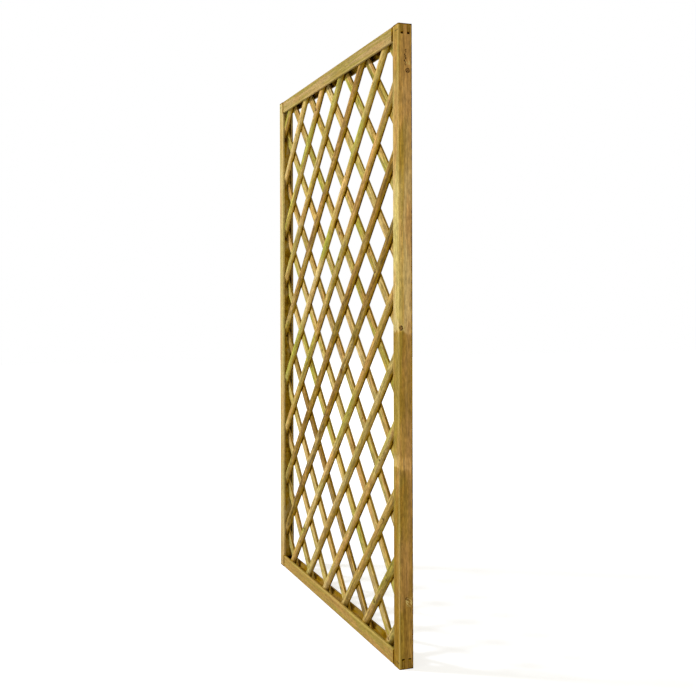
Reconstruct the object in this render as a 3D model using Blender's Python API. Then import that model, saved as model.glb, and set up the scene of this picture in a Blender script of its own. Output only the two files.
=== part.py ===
"""Wooden trellis panel: a grooved frame that holds two crossed layers of half-round laths.

The panel's width runs along X and its height along Z. Its front faces -Y.
The origin is at the middle of the panel's bottom edge, halfway through its depth.
"""

import math

import bmesh
import bpy
from mathutils import Matrix, Vector

MM = 0.001

# Panel
PANEL_WIDTH = 1200 * MM
PANEL_HEIGHT = 1800 * MM

# Frame members: stiles and rails are cut from one grooved section
MEMBER_FACE = 42 * MM
MEMBER_DEPTH = 42 * MM
GROOVE_WIDTH = 28 * MM
GROOVE_DEPTH = 16 * MM
ARRIS_RADIUS = 2.5 * MM
ARRIS_STEPS = 4

# Corner joints: two through tenons on each rail end, in slots open at the stile's end
TENON_THICKNESS = 8.5 * MM
SLOT_ROOT_GAP = 3.5 * MM
JOINT_CLEARANCE = 0.3 * MM

# Laths: a flat back, short square edges and a round front
LATH_WIDTH = 33 * MM
LATH_EDGE_HEIGHT = 3 * MM
LATH_ANGLE = math.radians(45)
LATH_ROUND_STEPS = 12

# Lattice: laths in each layer, and how far the lattice's middle sits above the panel's
LATHS_PER_LAYER = 15
LATTICE_RISE = 8 * MM
LAYER_CLEARANCE = 0.3 * MM
LIP_CLEARANCE = 0.4 * MM
LATH_END_CLEARANCE = 0.4 * MM

# Corner nails: two at each corner, driven from the front through the stile and both tenons
NAIL_RADIUS = 1.2 * MM
NAIL_HEAD_RADIUS = 2.6 * MM
NAIL_HEAD_DEPTH = 1.0 * MM
NAIL_COVER = 3 * MM
NAIL_HEIGHT_SHARE = 0.65
NAIL_SPACING_SHARE = 0.46
NAIL_CLEARANCE = 0.3 * MM
NAIL_SIDES = 10

# Cutters reach this far past the surfaces that they cut through
CUT_OVERRUN = 5 * MM

# Sizes that follow from the ones above
LATH_THICKNESS = (GROOVE_WIDTH - LAYER_CLEARANCE) / 2 - LIP_CLEARANCE
TENON_HEIGHT = MEMBER_FACE - GROOVE_DEPTH
FIELD_INSET = TENON_HEIGHT + LATH_END_CLEARANCE
FIELD_WIDTH = PANEL_WIDTH - 2 * FIELD_INSET
FIELD_HEIGHT = PANEL_HEIGHT - 2 * FIELD_INSET
LATTICE_SPAN = FIELD_HEIGHT + FIELD_WIDTH * math.tan(LATH_ANGLE)
LATH_PITCH = LATTICE_SPAN / LATHS_PER_LAYER
SLOT_DEPTH = TENON_HEIGHT + SLOT_ROOT_GAP
HALF_PRONG = GROOVE_WIDTH / 2 - TENON_THICKNESS
NAIL_FROM_END = TENON_HEIGHT * NAIL_HEIGHT_SHARE
NAIL_FROM_EDGE = TENON_HEIGHT / 2
NAIL_SPACING = TENON_HEIGHT * NAIL_SPACING_SHARE

# Edges that bend by less than these angles are shaded smooth
WOOD_SMOOTH_ANGLE = math.radians(35)
STEEL_SMOOTH_ANGLE = math.radians(65)

# Colours: red, green and blue, linear
STILE_COLOUR_SHARES = (0.42, 0.29, 0.10)
RAIL_COLOUR_SHARES = (0.46, 0.34, 0.13)
FRONT_LATH_COLOUR_SHARES = (0.50, 0.35, 0.12)
REAR_LATH_COLOUR_SHARES = (0.44, 0.31, 0.11)
STEEL_COLOUR_SHARES = (0.33, 0.32, 0.30)
WOOD_ROUGHNESS_SHARE = 0.75
STEEL_ROUGHNESS_SHARE = 0.45


def clear_scene():
    for item in list(bpy.data.objects):
        bpy.data.objects.remove(item, do_unlink=True)


def make_material(name, colour_shares, roughness_share, metallic_share=0.0):
    material = bpy.data.materials.new(name)
    material.use_nodes = True
    shader = material.node_tree.nodes["Principled BSDF"]
    shader.inputs["Base Color"].default_value = (*colour_shares, 1)
    shader.inputs["Roughness"].default_value = roughness_share
    shader.inputs["Metallic"].default_value = metallic_share
    return material


def add_object(name, mesh):
    item = bpy.data.objects.new(name, mesh)
    bpy.context.scene.collection.objects.link(item)
    return item


def add_cutter(name, shape):
    cutter = add_object(name, finish_mesh(name, shape))
    cutter.hide_render = True
    cutter.display_type = "WIRE"
    return cutter


def add_boolean(item, cutter, operation="DIFFERENCE"):
    cut = item.modifiers.new(cutter.name, "BOOLEAN")
    cut.operation = operation
    cut.solver = "EXACT"
    cut.object = cutter


def finish_mesh(name, shape, material=None, smooth_angle=0):
    """Turn a bmesh into a mesh with its faces outward, its material and its shading."""
    bmesh.ops.recalc_face_normals(shape, faces=shape.faces)
    mesh = bpy.data.meshes.new(name)
    shape.to_mesh(mesh)
    shape.free()
    if material is not None:
        mesh.materials.append(material)
        mesh.shade_smooth()
        mesh.set_sharp_from_angle(angle=smooth_angle)
    return mesh


def add_box(shape, low, high):
    low = Vector(low)
    high = Vector(high)
    place = Matrix.Translation((low + high) / 2) @ Matrix.Diagonal((*(high - low), 1))
    bmesh.ops.create_cube(shape, size=1, matrix=place)


def extrude_outline(name, outline, start, end, material):
    """Extrude a closed outline of (across, deep) points along X from start to end."""
    shape = bmesh.new()
    corners = [shape.verts.new((start, deep, across)) for across, deep in outline]
    face = shape.faces.new(corners)
    grown = bmesh.ops.extrude_face_region(shape, geom=[face])
    moved = [part for part in grown["geom"] if isinstance(part, bmesh.types.BMVert)]
    bmesh.ops.translate(shape, verts=moved, vec=(end - start, 0, 0))
    return finish_mesh(name, shape, material, WOOD_SMOOTH_ANGLE)


def arc_points(centre, radius, first_angle, last_angle, steps):
    points = []
    for step in range(steps + 1):
        angle = first_angle + (last_angle - first_angle) * step / steps
        points.append((centre[0] + radius * math.cos(angle), centre[1] + radius * math.sin(angle)))
    return points


def member_outline():
    """Return a member's section as (across, deep) points, grooved in its inner edge."""
    half_depth = MEMBER_DEPTH / 2
    half_groove = GROOVE_WIDTH / 2
    quarter = math.pi / 2
    low = ARRIS_RADIUS
    high = MEMBER_FACE - ARRIS_RADIUS
    front = ARRIS_RADIUS - half_depth
    back = half_depth - ARRIS_RADIUS
    outline = arc_points((low, front), ARRIS_RADIUS, 2 * quarter, 3 * quarter, ARRIS_STEPS)
    outline += arc_points((high, front), ARRIS_RADIUS, 3 * quarter, 4 * quarter, ARRIS_STEPS)
    outline += [(MEMBER_FACE, -half_groove), (TENON_HEIGHT, -half_groove)]
    outline += [(TENON_HEIGHT, half_groove), (MEMBER_FACE, half_groove)]
    outline += arc_points((high, back), ARRIS_RADIUS, 0, quarter, ARRIS_STEPS)
    outline += arc_points((low, back), ARRIS_RADIUS, quarter, 2 * quarter, ARRIS_STEPS)
    return outline


def lath_outline():
    """Return a lath's section as (across, deep) points, with its flat back at deep = 0."""
    half_width = LATH_WIDTH / 2
    rise = LATH_THICKNESS - LATH_EDGE_HEIGHT
    radius = (half_width ** 2 + rise ** 2) / (2 * rise)
    sweep = math.atan2(half_width, radius - rise)
    upright = math.pi / 2
    outline = [(-half_width, 0), (half_width, 0)]
    outline += arc_points((0, LATH_THICKNESS - radius), radius, upright - sweep, upright + sweep, LATH_ROUND_STEPS)
    return outline


def add_turned(shape, place, rings, sides):
    """Add a closed round body about a line along Y: rings of (radius, distance behind place)."""
    angles = [math.tau * side / sides for side in range(sides)]
    loops = []
    for radius, behind in rings:
        spots = [Vector((radius * math.cos(angle), behind, radius * math.sin(angle))) for angle in angles]
        loops.append([shape.verts.new(place + spot) for spot in spots])
    shape.faces.new(loops[0])
    shape.faces.new(loops[-1])
    for front, back in zip(loops, loops[1:]):
        for side in range(sides):
            after = (side + 1) % sides
            shape.faces.new((front[side], front[after], back[after], back[side]))


def nail_places():
    """Return each corner nail's name and the middle of its head."""
    places = []
    for height_name, up in (("bottom", NAIL_FROM_END), ("top", PANEL_HEIGHT - NAIL_FROM_END)):
        for side_name, side in (("left", -1), ("right", 1)):
            for place_name, shift in (("outer", NAIL_SPACING / 2), ("inner", -NAIL_SPACING / 2)):
                across = side * (PANEL_WIDTH / 2 - NAIL_FROM_EDGE + shift)
                name = f"{height_name}_{side_name}_{place_name}_nail"
                places.append((name, Vector((across, -MEMBER_DEPTH / 2, up))))
    return places


def add_nail(shape, place, clearance, overrun):
    """Add a nail that points along Y from its head, or with a clearance the hole that it stands in."""
    head = NAIL_HEAD_RADIUS + clearance
    shank = NAIL_RADIUS + clearance
    shoulder = NAIL_HEAD_DEPTH + clearance
    tip = MEMBER_DEPTH - NAIL_COVER + clearance
    add_turned(shape, place, [(head, -overrun), (head, shoulder), (shank, shoulder), (shank, tip)], NAIL_SIDES)


def nail_hole_shapes():
    shape = bmesh.new()
    for name, place in nail_places():
        add_nail(shape, place, NAIL_CLEARANCE, CUT_OVERRUN)
    return shape


def lath_heights():
    """Return where each lath of a layer crosses the panel's upright middle line.

    The laths share the span evenly, with half a pitch left over at the two corners.
    """
    lowest = PANEL_HEIGHT / 2 + LATTICE_RISE - (LATTICE_SPAN - LATH_PITCH) / 2
    return [lowest + number * LATH_PITCH for number in range(LATHS_PER_LAYER)]


def slot_shapes():
    """Return the boxes that cut two tenon slots into each end of both stiles."""
    shape = bmesh.new()
    outer = PANEL_WIDTH / 2 + CUT_OVERRUN
    inner = PANEL_WIDTH / 2 - MEMBER_FACE - CUT_OVERRUN
    for side in (-1, 1):
        left, right = sorted((side * inner, side * outer))
        for layer in (-1, 1):
            front, back = sorted((layer * HALF_PRONG, layer * GROOVE_WIDTH / 2))
            for low, high in ((-CUT_OVERRUN, SLOT_DEPTH),
                              (PANEL_HEIGHT - SLOT_DEPTH, PANEL_HEIGHT + CUT_OVERRUN)):
                add_box(shape, (left, front, low), (right, back, high))
    return shape


def shoulder_shapes():
    """Return the boxes that cut a rail's ends to their shoulders and two tenons."""
    shape = bmesh.new()
    outer = PANEL_WIDTH / 2 + CUT_OVERRUN
    shoulder = PANEL_WIDTH / 2 - MEMBER_FACE - JOINT_CLEARANCE
    prong_root = PANEL_WIDTH / 2 - TENON_HEIGHT - JOINT_CLEARANCE
    cheek = GROOVE_WIDTH / 2 - JOINT_CLEARANCE
    prong = HALF_PRONG + JOINT_CLEARANCE
    outside = MEMBER_DEPTH / 2 + CUT_OVERRUN
    low = -CUT_OVERRUN
    high = PANEL_HEIGHT + CUT_OVERRUN
    for side in (-1, 1):
        left, right = sorted((side * shoulder, side * outer))
        add_box(shape, (left, -outside, low), (right, -cheek, high))
        add_box(shape, (left, cheek, low), (right, outside, high))
        left, right = sorted((side * prong_root, side * outer))
        add_box(shape, (left, -prong, low), (right, prong, high))
    return shape


def field_shape():
    """Return the block that the laths are trimmed to, from groove floor to groove floor."""
    shape = bmesh.new()
    side = FIELD_WIDTH / 2
    top = FIELD_INSET + FIELD_HEIGHT
    add_box(shape, (-side, -MEMBER_DEPTH, FIELD_INSET), (side, MEMBER_DEPTH, top))
    return shape


def make_stiles(material, slot_cutter, nail_cutter):
    """Stand both stiles up, each with its groove facing the panel's middle."""
    mesh = extrude_outline("stile", member_outline(), 0, PANEL_HEIGHT, material)
    for name, side, turn in (("left_stile", -1, math.pi), ("right_stile", 1, 0)):
        stile = add_object(name, mesh)
        stile.location = (side * PANEL_WIDTH / 2, 0, 0)
        stile.rotation_euler = (0, -math.pi / 2, turn)
        add_boolean(stile, slot_cutter)
        add_boolean(stile, nail_cutter)


def make_rails(material, shoulder_cutter, nail_cutter):
    """Lay both rails across the panel, each with its groove facing the panel's middle."""
    mesh = extrude_outline("rail", member_outline(), -PANEL_WIDTH / 2, PANEL_WIDTH / 2, material)
    for name, height, turn in (("bottom_rail", 0, 0), ("top_rail", PANEL_HEIGHT, math.pi)):
        rail = add_object(name, mesh)
        rail.location = (0, 0, height)
        rail.rotation_euler = (turn, 0, 0)
        add_boolean(rail, shoulder_cutter)
        add_boolean(rail, nail_cutter)


def make_laths(layer, facing, material, field):
    """Make one layer. The front layer faces -Y and rises to the right; the rear layer mirrors it."""
    half_length = math.hypot(PANEL_WIDTH, PANEL_HEIGHT) / 2
    mesh = extrude_outline(f"{layer}_lath", lath_outline(), -half_length, half_length, material)
    flip = math.pi if facing < 0 else 0
    for number, height in enumerate(lath_heights(), start=1):
        lath = add_object(f"{layer}_lath_{number:02d}", mesh)
        lath.location = (0, facing * LAYER_CLEARANCE / 2, height)
        lath.rotation_euler = (flip, facing * LATH_ANGLE, 0)
        add_boolean(lath, field, "INTERSECT")


def make_nails(material):
    """Set a nail at each place, all made from one mesh."""
    shape = bmesh.new()
    add_nail(shape, Vector(), 0, 0)
    mesh = finish_mesh("corner_nail", shape, material, STEEL_SMOOTH_ANGLE)
    for name, place in nail_places():
        nail = add_object(name, mesh)
        nail.location = place


def build():
    clear_scene()
    stile_wood = make_material("stile_wood", STILE_COLOUR_SHARES, WOOD_ROUGHNESS_SHARE)
    rail_wood = make_material("rail_wood", RAIL_COLOUR_SHARES, WOOD_ROUGHNESS_SHARE)
    front_lath_wood = make_material("front_lath_wood", FRONT_LATH_COLOUR_SHARES, WOOD_ROUGHNESS_SHARE)
    rear_lath_wood = make_material("rear_lath_wood", REAR_LATH_COLOUR_SHARES, WOOD_ROUGHNESS_SHARE)
    steel = make_material("zinc_plated_steel", STEEL_COLOUR_SHARES, STEEL_ROUGHNESS_SHARE, 1.0)

    slot_cutter = add_cutter("slot_cutter", slot_shapes())
    shoulder_cutter = add_cutter("shoulder_cutter", shoulder_shapes())
    nail_cutter = add_cutter("nail_cutter", nail_hole_shapes())
    field = add_cutter("lattice_field", field_shape())

    make_stiles(stile_wood, slot_cutter, nail_cutter)
    make_rails(rail_wood, shoulder_cutter, nail_cutter)
    make_laths("front", -1, front_lath_wood, field)
    make_laths("rear", 1, rear_lath_wood, field)
    make_nails(steel)


build()
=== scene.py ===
import math
import random

import bpy
from mathutils import Matrix, Vector


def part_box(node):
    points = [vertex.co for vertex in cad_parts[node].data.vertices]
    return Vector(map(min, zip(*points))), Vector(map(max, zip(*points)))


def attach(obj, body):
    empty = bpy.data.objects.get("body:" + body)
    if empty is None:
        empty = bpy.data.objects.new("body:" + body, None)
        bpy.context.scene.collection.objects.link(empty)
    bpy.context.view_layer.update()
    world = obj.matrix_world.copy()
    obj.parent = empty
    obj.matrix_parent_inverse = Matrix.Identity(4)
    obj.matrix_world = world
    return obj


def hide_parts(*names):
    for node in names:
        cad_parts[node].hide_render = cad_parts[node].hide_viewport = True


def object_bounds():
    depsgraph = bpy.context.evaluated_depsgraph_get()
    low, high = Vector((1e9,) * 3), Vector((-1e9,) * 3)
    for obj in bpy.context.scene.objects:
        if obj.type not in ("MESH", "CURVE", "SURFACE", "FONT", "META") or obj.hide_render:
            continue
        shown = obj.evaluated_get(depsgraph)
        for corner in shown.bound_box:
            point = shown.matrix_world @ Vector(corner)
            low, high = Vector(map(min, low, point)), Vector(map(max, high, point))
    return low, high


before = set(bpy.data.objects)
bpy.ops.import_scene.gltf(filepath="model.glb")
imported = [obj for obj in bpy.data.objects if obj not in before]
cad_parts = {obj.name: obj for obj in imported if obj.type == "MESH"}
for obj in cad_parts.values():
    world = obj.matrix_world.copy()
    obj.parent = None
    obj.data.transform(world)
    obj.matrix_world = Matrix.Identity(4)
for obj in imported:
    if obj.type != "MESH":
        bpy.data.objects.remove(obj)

cad_low, cad_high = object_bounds()

MM = 0.001
QUARTER = math.pi / 2

# Camera: placed and turned as the photograph's perspective gives it, with its sensor in millimetres
IMAGE_SIZE = 696
FOCAL_PIXELS = 990.03
HORIZON_ROW = 302.885
SENSOR_WIDTH = 36
CAMERA_PLACE = (3.14011, -1.08711, 1.02109)
CAMERA_TURN = 0.34611
CAMERA_ROLL = -0.00250

# Sizes shared with the solids
MEMBER_FACE = 42 * MM
HALF_FACE = MEMBER_FACE / 2
GROOVE_DEPTH = 16 * MM
HALF_GROOVE = 14 * MM
TENON_THICKNESS = 8.5 * MM
HALF_PRONG = HALF_GROOVE - TENON_THICKNESS
LATH_WIDTH = 33 * MM
LATH_THICKNESS = 13.45 * MM
LATH_EDGE_HEIGHT = 3 * MM
LATH_ARRIS = 0.7 * MM
LATH_ANGLE = math.radians(45)
LATH_GAP = 0.15 * MM
LATHS_PER_LAYER = 15
LATTICE_RISE = 8 * MM
LATH_END_CLEARANCE = 0.4 * MM
HALF_WIDTH = (cad_high.x - cad_low.x) / 2
PANEL_HEIGHT = cad_high.z - cad_low.z
HALF_HEIGHT = PANEL_HEIGHT / 2
HALF_OPENING = HALF_WIDTH - MEMBER_FACE
FIELD_INSET = MEMBER_FACE - GROOVE_DEPTH + LATH_END_CLEARANCE
FIELD_HALF_WIDTH = HALF_WIDTH - FIELD_INSET
FIELD_HEIGHT = PANEL_HEIGHT - 2 * FIELD_INSET
LATTICE_SPAN = FIELD_HEIGHT + 2 * FIELD_HALF_WIDTH * math.tan(LATH_ANGLE)
LATH_PITCH = LATTICE_SPAN / LATHS_PER_LAYER
LATTICE_MIDDLE = HALF_HEIGHT + LATTICE_RISE

# Lath meshes: the length of one step along, the points on the section's curves, how far and how often in a
# metre a sawn strip wanders sideways and lifts, the spare length that the trim takes off each end, and the
# angle from which an edge is crisp
LATH_STEP = 16 * MM
DOME_STEPS = 20
ARRIS_STEPS = 3
LATH_WANDER = 1.6 * MM
WANDER_CYCLES = 2.6
LATH_LEAN = 0.35 * MM
LEAN_CYCLES = 4.0
LATH_SPARE = LATH_WIDTH
MERGE_DISTANCE = 0.02 * MM
CRISP_ANGLE = math.radians(40)

# Crossing pins
PIN_HEAD_RADIUS = 1.5 * MM
PIN_HEAD_HEIGHT = 0.7 * MM
PIN_HEAD_SIDES = 10
PIN_HEAD_RINGS = 6
PIN_SHANK_RADIUS = 0.7 * MM
PIN_SHANK_SIDES = 8
PIN_POINT_SHARE = 0.2
PIN_LENGTH = 22 * MM
PIN_SCATTER = 2.5 * MM
PIN_MARGIN = 6 * MM
PIN_SEED = 7

# Wood and steel colours: red, green and blue, linear
PALE_SHARES = (0.67, 0.52, 0.225, 1)
LATE_SHARES = (0.33, 0.19, 0.034, 1)
BROWN_SHARES = (0.23, 0.115, 0.013, 1)
HEART_SHARES = (0.38, 0.22, 0.022, 1)
GREEN_SHARES = (0.375, 0.365, 0.055, 1)
PINK_SHARES = (0.56, 0.312, 0.1, 1)
KNOT_SHARES = (0.34, 0.18, 0.05, 1)
KNOT_RIM_SHARES = (0.045, 0.02, 0.006, 1)
CRACK_SHARES = (0.07, 0.035, 0.012, 1)
END_SHARES = (0.25, 0.14, 0.03, 1)
# Stain and dirt, which also serve as painted shade, and a near black that is mostly painted shade
STAIN_AND_SHADE_SHARES = (0.38, 0.222, 0.007, 1)
DIRT_AND_SHADE_SHARES = (0.085, 0.027, 0.001, 1)
HOLE_SHADE_AND_SEAM_SHARES = (0.018, 0.004, 0.0005, 1)
WORN_AND_HIGHLIGHT_SHARES = (0.64, 0.48, 0.16, 1)
STEEL_SHARES = (0.075, 0.055, 0.03, 1)
STEEL_DULL_SHARES = (0.04, 0.022, 0.01, 1)

# Surfaces: how strongly dry wood and dull zinc mirror, how metallic the zinc is, how fine its dull specks are
# in a metre, and the strength and depth of each surface's relief
SPECULAR_SHARE = 0.02
METAL_SHARE = 0.1
DULL_CYCLES = (900.0, 900.0, 900.0)
WOOD_RELIEF_SHARE = 0.45
WOOD_RELIEF = 0.5 * MM
STEEL_RELIEF_SHARE = 0.3
STEEL_RELIEF = 0.1 * MM

# Soft light that fills the shade, the floor that evens it out, and how white the floor glows to the camera,
# from the panel's foot outwards
WHITE_SHARES = (1, 1, 1, 1)
FILL_SHARES = (1.0, 0.88, 0.57, 1)
FILL_STRENGTH_SHARE = 0.44
FLOOR_SHARES = (0.70, 0.75, 0.92, 1)
FLOOR_REACH = 14.0
GLOW_REACH = (1.0, 4.5)
GLOW_SHARES = (0.6, 1.0)

# Lamps: place, side of the square, and power in watts
LAMPS = {
    "key": ((-3.2, -5.8, 4.2), 1.2, 410),
    "side": ((6.5, -1.5, 3.0), 3.0, 112),
}

# Patterns in the wood: cycles in a metre along the grain, across it and through it. A resin line has them
# along the grain alone, and a tear across and along itself.
FIBRE_CYCLES = (24.0, 430.0, 430.0)
STREAK_CYCLES = (9.0, 190.0, 190.0)
GRAIN_CYCLES = (70.0, 270.0, 270.0)
MOTTLE_CYCLES = (45.0, 110.0, 110.0)
BLOTCH_CYCLES = (5.0, 20.0, 20.0)
PORE_CYCLES = (40.0, 900.0, 900.0)
FRAY_CYCLES = (60.0, 45.0, 45.0)
CRACK_CYCLES = (2.3, 120.0, 120.0)
CRACK_PATCH_CYCLES = (5.0, 22.0, 22.0)
RING_CYCLES = (4.0, 50.0, 50.0)
PITH_CYCLES = (1.3, 2.0, 2.0)
KNOT_CYCLES = (260.0, 260.0, 60.0)
KNOT_BREAK_CYCLES = (190.0, 190.0, 190.0)
RESIN_CYCLES = 130.0
RESIN_BREAK_CYCLES = (260.0, 100.0, 100.0)
TEAR_CYCLES = (210.0, 45.0)
GROOVE_CYCLES = (16.0, 60.0, 60.0)
CHANGE_CYCLES = (20.0, 60.0, 60.0)
STRIP_CYCLES = (9.0, 20.0, 20.0)

# Growth rings, the middle they lie round, knots and resin lines
RING_WIDTH = 3.2 * MM
PITH_WANDER = 50 * MM
LATH_PITH = (0.0, 0.0, 50 * MM)
LATH_PITH_SPREAD = (0.0, 90 * MM, 40 * MM)
LEAST_KNOT_RADIUS = 0.01 * MM
KNOT_SLANT_SHARE = 0.35
KNOT_RAGGED_SHARE = 0.35
KNOT_PUSH_SHARE = 2.2
RESIN_LINE = (1 * MM, 2.8 * MM)
RESIN_WANDER = 0.43 * MM

# Where stain, painted shade, skin and wear lie on a frame member. Each pair holds the two distances between
# which the effect comes in or fades, from the side, edge, end or shoulder that is named.
SKIN_FROM_OUTER = (1 * MM, 3 * MM)
# Painted shade along a rail's outer edges
FRINGE_FROM_OUTER = (1 * MM, 2.2 * MM)
BAND_FROM_OUTER = (1.5 * MM, 3.5 * MM)
INSIDE_FROM_SIDE = (0.4 * MM, 1.2 * MM)
LIP_FROM_GROOVE = (0.1 * MM, 0.4 * MM)
FLOOR_FROM_MIDDLE = (0.0, 4 * MM)
FOOT_SHADE_FROM_LATH = (-3 * MM, 9 * MM)
TENON_FROM_SHOULDER = (1 * MM, 3 * MM)
SEAM_FROM_SHOULDER = (-11 * MM, -5 * MM)
CORNER_FROM_SHOULDER = (-70 * MM, -15 * MM)
OUTLINE_FROM_RIM = (0.8 * MM, 2.6 * MM)
JOINT_FROM_END = (32 * MM, 38 * MM)
SKIN_FROM_END = (0.2 * MM, 0.6 * MM)
SAWN_FROM_END = (2 * MM, 4.5 * MM)
SEAM_FROM_RAIL = (0.0, 2 * MM)
SEAM_FROM_INNER = (2 * MM, 7 * MM)
# The front edges' pale wear is partly a painted highlight
WEAR_AND_HIGHLIGHT_FROM_EDGE = (1 * MM, 7 * MM)
WEAR_AND_HIGHLIGHT_FROM_FRONT = (1.2 * MM, 3.4 * MM)
# Painted shade along the rear edges and a rail's outer edges
SHADE_FROM_EDGE = (1.5 * MM, 4 * MM)
SHADE_FROM_BACK = (2.5 * MM, 5 * MM)
STRIP_FROM_MIDDLE = (-9 * MM, -3 * MM)

# How ragged the golden strip and the changes of tone are, and how far across the grain the changes slant
STRIP_RAGGED = 12 * MM
CHANGE_RAGGED = 30 * MM
CHANGE_SLANT_SHARE = 0.27

# Where stain and painted shade lie on a lath, from its flat side, its edge, its middle, the lath that it
# crosses, or the frame
DOME_FROM_FLAT = (0.2 * MM, 0.8 * MM)
STAIN_FROM_LATH_EDGE = (0.0, 2.5 * MM)
FLANK_SHADE_FROM_FLAT = (3 * MM, 12 * MM)
SHADED_RIGHT_FROM_MIDDLE = (-12 * MM, 3 * MM)
SHADE_FROM_CROSSING = (1 * MM, 9 * MM)
SHADOW_FROM_CROSSING = (0.0, 5 * MM)
SHADOW_BELOW_CROSSING = (0.0, 1 * MM)
CROSSING_REACH = (0.0, LATH_WIDTH / 2)
SHADE_FROM_FRAME = (0.0, 10 * MM)

# How strong the stain, the painted shade and the wear are in those places. Facing says how squarely a face
# points a way, and foot holds a share of painted shade for each layer's slope.
FACING_SHARES = (0.5, 0.85)
FOOT_SHADE_SHARES = {1.0: 1.5, -1.0: 1.15}
# The shares for the groove's corners, hidden sides, rear and outer edges, lath flanks, crossings and the
# frame's mouth are painted shade
GROOVE_CORNER_SHADE_SHARE = 1.8
HIDDEN_SHADE_SHARE = 1.5
OUTWARD_CLEAN_SHARE = 0.85
SAWN_SHARE = 1.1
TENON_EDGE_SHARE = 0.8
RAIL_SEAM_SHARE = 0.8
END_STAIN_SHARE = 0.25
TORN_SHARE = 2.2
BACK_EDGE_SHADE_SHARE = 0.95
FRINGE_SHARE = 0.9
BAND_SHARES = (0.6, 0.5)
LATH_EDGE_SHARE = 1.2
LATH_FLANK_SHADE_SHARE = 0.67
CROSSING_SHADE_SHARE = 0.72
CROSSING_SHADOW_SHARE = 0.5
FRAME_SHADE_SHARE = 0.3

# Frame members. Turn and shift bring the grain to X, the depth to Y, and the groove towards +Z. Number gives
# each its own grain, pith is where its rings' middle lies, and streaks is the contrast of its grain. Heart is
# the share of golden heartwood, and each change is (place along, softness, change in it). Tone is the share
# of brown in it, and shade its brightness. Green lies towards the front and pink towards the back as lean
# says. Groove is the painted shade in the groove, and joint the stain at the shoulders. Strip is a golden
# strip up the front third of the outer side. Knots are (along, across, radius), marks are (along, across,
# half length, strength), and tears are (along, across, half length). A swirl bends the rings as a knot below
# the face does.
PLAIN = {"lean": 0.0, "changes": [], "side_knots": [], "marks": [], "strip": 0.0, "swirls": [], "tears": []}
MEMBERS = {
    "right_stile": {
        "turn": (0, QUARTER, 0), "shift": HALF_WIDTH - HALF_FACE, "level": False, "number": 41.0,
        "streaks": 0.75, "pith": (0.0, -0.0432, 0.014), "tone": 0.3, "green": 0.12, "pink": 0.25,
        "lean": 11.0, "shade": 0.99, "heart": 0.98, "groove": 0.85,
        "changes": [(0.553, 0.004, -0.6), (0.59, 0.008, 0.45), (0.937, 0.006, -0.75), (1.38, 0.06, 0.4),
                    (1.65, 0.03, 0.3)],
        "side_knots": [(0.958, -0.0145, 0.0062), (1.6765, 0.0073, 0.006), (0.203, 0.0015, 0.0042)],
        "marks": [(1.7065, 0.0005, 0.027, 1.0), (1.25, -0.0125, 0.14, 0.2), (0.4, -0.0135, 0.17, 0.25)],
        "strip": 0.5, "swirls": [(1.605, 0.004, 0.018), (0.545, 0.004, 0.016)],
        "tears": [(0.186, 0.0098, 0.016), (1.69, 0.0085, 0.008)],
    },
    "left_stile": {
        **PLAIN, "turn": (2 * QUARTER, -QUARTER, 0), "shift": HALF_WIDTH - HALF_FACE, "level": False,
        "number": 42.0, "streaks": 0.5, "pith": (0.0, 0.05, 0.03), "tone": 0.15, "green": 0.4, "pink": 0.0,
        "shade": 0.8, "heart": 0.1, "groove": 0.5, "changes": [(0.9, 0.05, -0.1)],
        "side_knots": [(0.75, 0.006, 0.005)],
    },
    "top_rail": {
        **PLAIN, "turn": (0, 2 * QUARTER, 0), "shift": PANEL_HEIGHT - HALF_FACE, "level": True,
        "number": 43.0, "streaks": 0.08, "pith": (0.0, 0.012, 0.05), "tone": 0.2, "green": 0.9, "pink": 0.33,
        "shade": 0.63, "heart": 0.1, "groove": 0.85, "joint": 1.7,
    },
    "bottom_rail": {
        **PLAIN, "turn": (0, 0, 0), "shift": -HALF_FACE, "level": True,
        "number": 44.0, "streaks": 0.4, "pith": (0.0, 0.02, -0.05), "tone": 0.3, "green": 0.55, "pink": 0.08,
        "shade": 0.93, "heart": 0.65, "groove": 0.45, "joint": 0.95,
    },
}

# Each lath's share of brown heartwood and of green preservative, from lath 01 up
FRONT_TONE_SHARES = [
    (0.45, 0.4), (0.5, 0.5), (0.25, 0.4), (0.15, 0.3), (0.35, 0.2), (0.2, 0.5), (1.0, 0.3), (0.75, 0.3),
    (0.3, 0.6), (0.1, 0.6), (0.85, 0.5), (0.2, 0.4), (0.2, 0.8), (0.05, 0.4), (0.3, 0.5),
]
REAR_TONE_SHARES = [
    (0.3, 0.3), (0.2, 0.2), (0.25, 0.2), (0.2, 0.2), (1.0, 0.1), (0.25, 0.6), (0.25, 0.5), (0.6, 0.3),
    (0.35, 0.4), (0.5, 0.7), (0.35, 0.6), (0.3, 0.3), (0.5, 0.6), (0.75, 0.5), (0.4, 0.6),
]

# Layers of laths: the way that the domes face along Y, the share of stain on the sawn edges and of painted
# shade on the flanks, and the number before the first lath's, which gives each lath its own grain
LAYERS = {
    "front": {"facing": -1.0, "edge_stain_and_shade_share": 0.8, "before": 0, "tones": FRONT_TONE_SHARES},
    "rear": {"facing": 1.0, "edge_stain_and_shade_share": 0.5, "before": 20, "tones": REAR_TONE_SHARES},
}

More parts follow.
